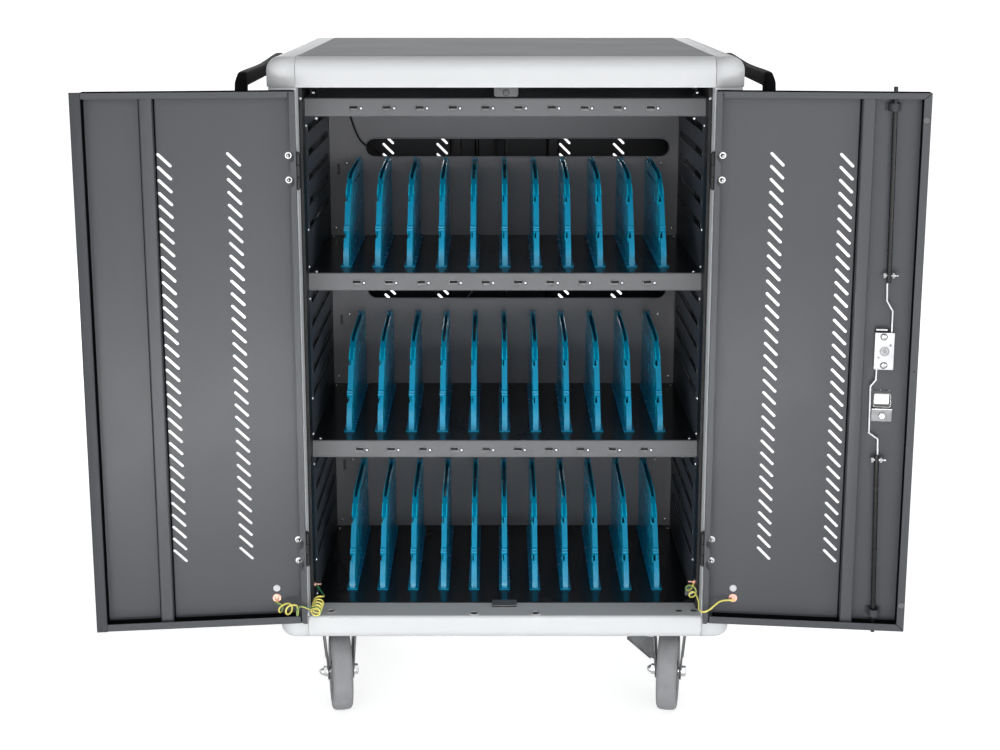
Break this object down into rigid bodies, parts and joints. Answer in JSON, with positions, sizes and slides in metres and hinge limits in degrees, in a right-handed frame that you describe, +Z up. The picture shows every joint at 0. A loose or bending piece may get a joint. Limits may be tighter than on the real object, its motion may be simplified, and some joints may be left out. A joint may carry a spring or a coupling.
{
  "type": "laptop charging cart",
  "caption": "Wheeled steel cabinet with double doors front and rear, three bays of upright device slots with charging ports, side grip bars and swivel casters.",
  "frame": {"origin": "on the floor under the middle of the whole box, front doors open", "axes": "+X to the right seen from the front, +Y from the front to the rear, +Z up"},
  "size_m": [1.1698, 0.6436, 1.012],
  "materials": {
    "light_paint": "satin light grey powder coat",
    "grey_paint": "satin mid grey powder coat",
    "dark_paint": "satin dark grey powder coat",
    "black_gloss_paint": "glossy black enamel",
    "blue_plastic": "semi-gloss moulded blue plastic",
    "black_plastic": "fine-grained moulded black plastic",
    "zinc_plate": "bright zinc plate",
    "grey_rubber": "matte grey non-marking rubber",
    "black_cable": "black cable jacket",
    "earth_sleeve": "green and yellow insulation"
  },
  "bodies": {
    "cabinet": {"top_end_cap_left": "light_paint", "top_end_cap_right": "light_paint", "top_front_rail": "light_paint", "top_rear_rail": "light_paint", "base_end_cap_left": "light_paint", "base_end_cap_right": "light_paint", "base_front_rail": "light_paint", "base_rear_rail": "light_paint", "front_post_left": "light_paint", "front_post_right": "light_paint", "rear_post_left": "light_paint", "rear_post_right": "light_paint", "top_panel": "grey_paint", "side_panel_left": "grey_paint", "side_panel_right": "grey_paint", "top_tray": "grey_paint", "side_liner_left": "dark_paint", "side_liner_right": "dark_paint", "inner_back_panel": "dark_paint", "base_floor": "black_gloss_paint", "shelf_upper": "black_gloss_paint", "shelf_middle": "black_gloss_paint", "divider_rack_upper": "blue_plastic", "divider_rack_middle": "blue_plastic", "divider_rack_lower": "blue_plastic", "side_handle_left": "black_plastic", "side_handle_right": "black_plastic", "port_hub_upper": "black_plastic", "port_hub_middle": "black_plastic", "port_hub_lower": "black_plastic", "power_unit": "black_plastic", "base_pan": "zinc_plate", "power_lead": "black_cable", "earth_wire_left": "earth_sleeve", "earth_wire_right": "earth_sleeve"},
    "front_left_door": {"front_door_left": "grey_paint", "front_stiffener_left": "grey_paint"},
    "front_right_door": {"front_door_right": "grey_paint", "front_stiffener_right": "grey_paint", "front_lock_housing": "black_plastic"},
    "front_lock_spindle": {"front_lock_cam": "zinc_plate"},
    "front_lever": {"front_lock_lever": "black_plastic"},
    "front_upper_bolt": {"front_upper_rod": "zinc_plate"},
    "front_lower_bolt": {"front_lower_rod": "zinc_plate"},
    "rear_left_door": {"rear_door_left": "grey_paint", "rear_lock_housing": "black_plastic"},
    "rear_right_door": {"rear_door_right": "grey_paint"},
    "rear_lock_spindle": {"rear_lock_cam": "zinc_plate"},
    "rear_lever": {"rear_lock_lever": "black_plastic"},
    "rear_upper_bolt": {"rear_upper_rod": "zinc_plate"},
    "rear_lower_bolt": {"rear_lower_rod": "zinc_plate"},
    "brake": {"caster_brake_pedal": "zinc_plate"},
    "front_left_fork": {"caster_fork_front_left": "zinc_plate"},
    "front_left_wheel": {"caster_wheel_front_left": "grey_rubber"},
    "front_right_fork": {"caster_fork_front_right": "zinc_plate"},
    "front_right_wheel": {"caster_wheel_front_right": "grey_rubber"},
    "rear_left_fork": {"caster_fork_rear_left": "zinc_plate"},
    "rear_left_wheel": {"caster_wheel_rear_left": "grey_rubber"},
    "rear_right_fork": {"caster_fork_rear_right": "zinc_plate"},
    "rear_right_wheel": {"caster_wheel_rear_right": "grey_rubber"}
  },
  "joints": [
    {"name": "front_right_swing", "type": "hinge", "parent": "cabinet", "child": "front_right_door", "pos_m": [0.29669, -0.26269, 0.6], "axis": [0, 0, 1], "range_deg": [-174, 4], "deforming": ["earth_wire_right"]},
    {"name": "front_left_swing", "type": "hinge", "parent": "cabinet", "child": "front_left_door", "pos_m": [-0.28531, -0.26269, 0.6], "axis": [0, 0, -1], "range_deg": [-174, 4], "deforming": ["earth_wire_left"]},
    {"name": "rear_left_swing", "type": "hinge", "parent": "cabinet", "child": "rear_left_door", "pos_m": [-0.28531, 0.30431, 0.6], "axis": [0, 0, 1], "range_deg": [0, 174]},
    {"name": "rear_right_swing", "type": "hinge", "parent": "cabinet", "child": "rear_right_door", "pos_m": [0.29669, 0.30431, 0.6], "axis": [0, 0, -1], "range_deg": [0, 174]},
    {"name": "front_lock_turn", "type": "hinge", "parent": "front_right_door", "child": "front_lock_spindle", "pos_m": [0.542, -0.28696, 0.603], "axis": [0.1045, 0.9945, 0], "range_deg": [0, 90]},
    {"name": "front_lever_lift", "type": "hinge", "parent": "front_lock_spindle", "child": "front_lever", "pos_m": [0.54325, -0.27503, 0.612], "axis": [0.9945, -0.1045, 0], "range_deg": [0, 55]},
    {"name": "front_upper_bolt_slide", "type": "slide", "parent": "front_right_door", "child": "front_upper_bolt", "axis": [0, 0, -1], "range_m": [0, 0.0151]},
    {"name": "front_lower_bolt_slide", "type": "slide", "parent": "front_right_door", "child": "front_lower_bolt", "axis": [0, 0, 1], "range_m": [0, 0.0151]},
    {"name": "rear_lock_turn", "type": "hinge", "parent": "rear_left_door", "child": "rear_lock_spindle", "pos_m": [-0.03881, 0.30581, 0.603], "axis": [0, 1, 0], "range_deg": [0, 90]},
    {"name": "rear_lever_lift", "type": "hinge", "parent": "rear_lock_spindle", "child": "rear_lever", "pos_m": [-0.03881, 0.31781, 0.612], "axis": [1, 0, 0], "range_deg": [0, 55]},
    {"name": "rear_upper_bolt_slide", "type": "slide", "parent": "rear_left_door", "child": "rear_upper_bolt", "axis": [0, 0, -1], "range_m": [0, 0.0151]},
    {"name": "rear_lower_bolt_slide", "type": "slide", "parent": "rear_left_door", "child": "rear_lower_bolt", "axis": [0, 0, 1], "range_m": [0, 0.0151]},
    {"name": "front_left_swivel", "type": "hinge", "parent": "cabinet", "child": "front_left_fork", "pos_m": [-0.25281, -0.15419, 0.138], "axis": [0, 0, 1], "continuous": true},
    {"name": "front_left_roll", "type": "hinge", "parent": "front_left_fork", "child": "front_left_wheel", "pos_m": [-0.24916, -0.17487, 0.06], "axis": [0.9848, 0.1736, 0], "continuous": true},
    {"name": "front_right_swivel", "type": "hinge", "parent": "cabinet", "child": "front_right_fork", "pos_m": [0.26419, -0.15419, 0.138], "axis": [0, 0, 1], "continuous": true},
    {"name": "front_right_roll", "type": "hinge", "parent": "front_right_fork", "child": "front_right_wheel", "pos_m": [0.26054, -0.17487, 0.06], "axis": [0.9848, -0.1736, 0], "continuous": true},
    {"name": "rear_left_swivel", "type": "hinge", "parent": "cabinet", "child": "rear_left_fork", "pos_m": [-0.25281, 0.19581, 0.138], "axis": [0, 0, 1], "continuous": true},
    {"name": "rear_left_roll", "type": "hinge", "parent": "rear_left_fork", "child": "rear_left_wheel", "pos_m": [-0.25646, 0.17513, 0.06], "axis": [0.9848, -0.1736, 0], "continuous": true},
    {"name": "rear_right_swivel", "type": "hinge", "parent": "cabinet", "child": "rear_right_fork", "pos_m": [0.26419, 0.19581, 0.138], "axis": [0, 0, 1], "continuous": true},
    {"name": "rear_right_roll", "type": "hinge", "parent": "rear_right_fork", "child": "rear_right_wheel", "pos_m": [0.26784, 0.17513, 0.06], "axis": [0.9848, 0.1736, 0], "continuous": true},
    {"name": "brake_press", "type": "hinge", "parent": "front_right_fork", "child": "brake", "pos_m": [0.24088, -0.15973, 0.076], "axis": [-0.1736, -0.9848, 0], "range_deg": [0, 20]}
  ],
  "couplings": [
    {"joint": "front_upper_bolt_slide", "follows": "front_lock_turn", "m_per_rad": 0.0095493},
    {"joint": "front_lower_bolt_slide", "follows": "front_lock_turn", "m_per_rad": 0.0095493},
    {"joint": "rear_upper_bolt_slide", "follows": "rear_lock_turn", "m_per_rad": 0.0095493},
    {"joint": "rear_lower_bolt_slide", "follows": "rear_lock_turn", "m_per_rad": 0.0095493}
  ]
}
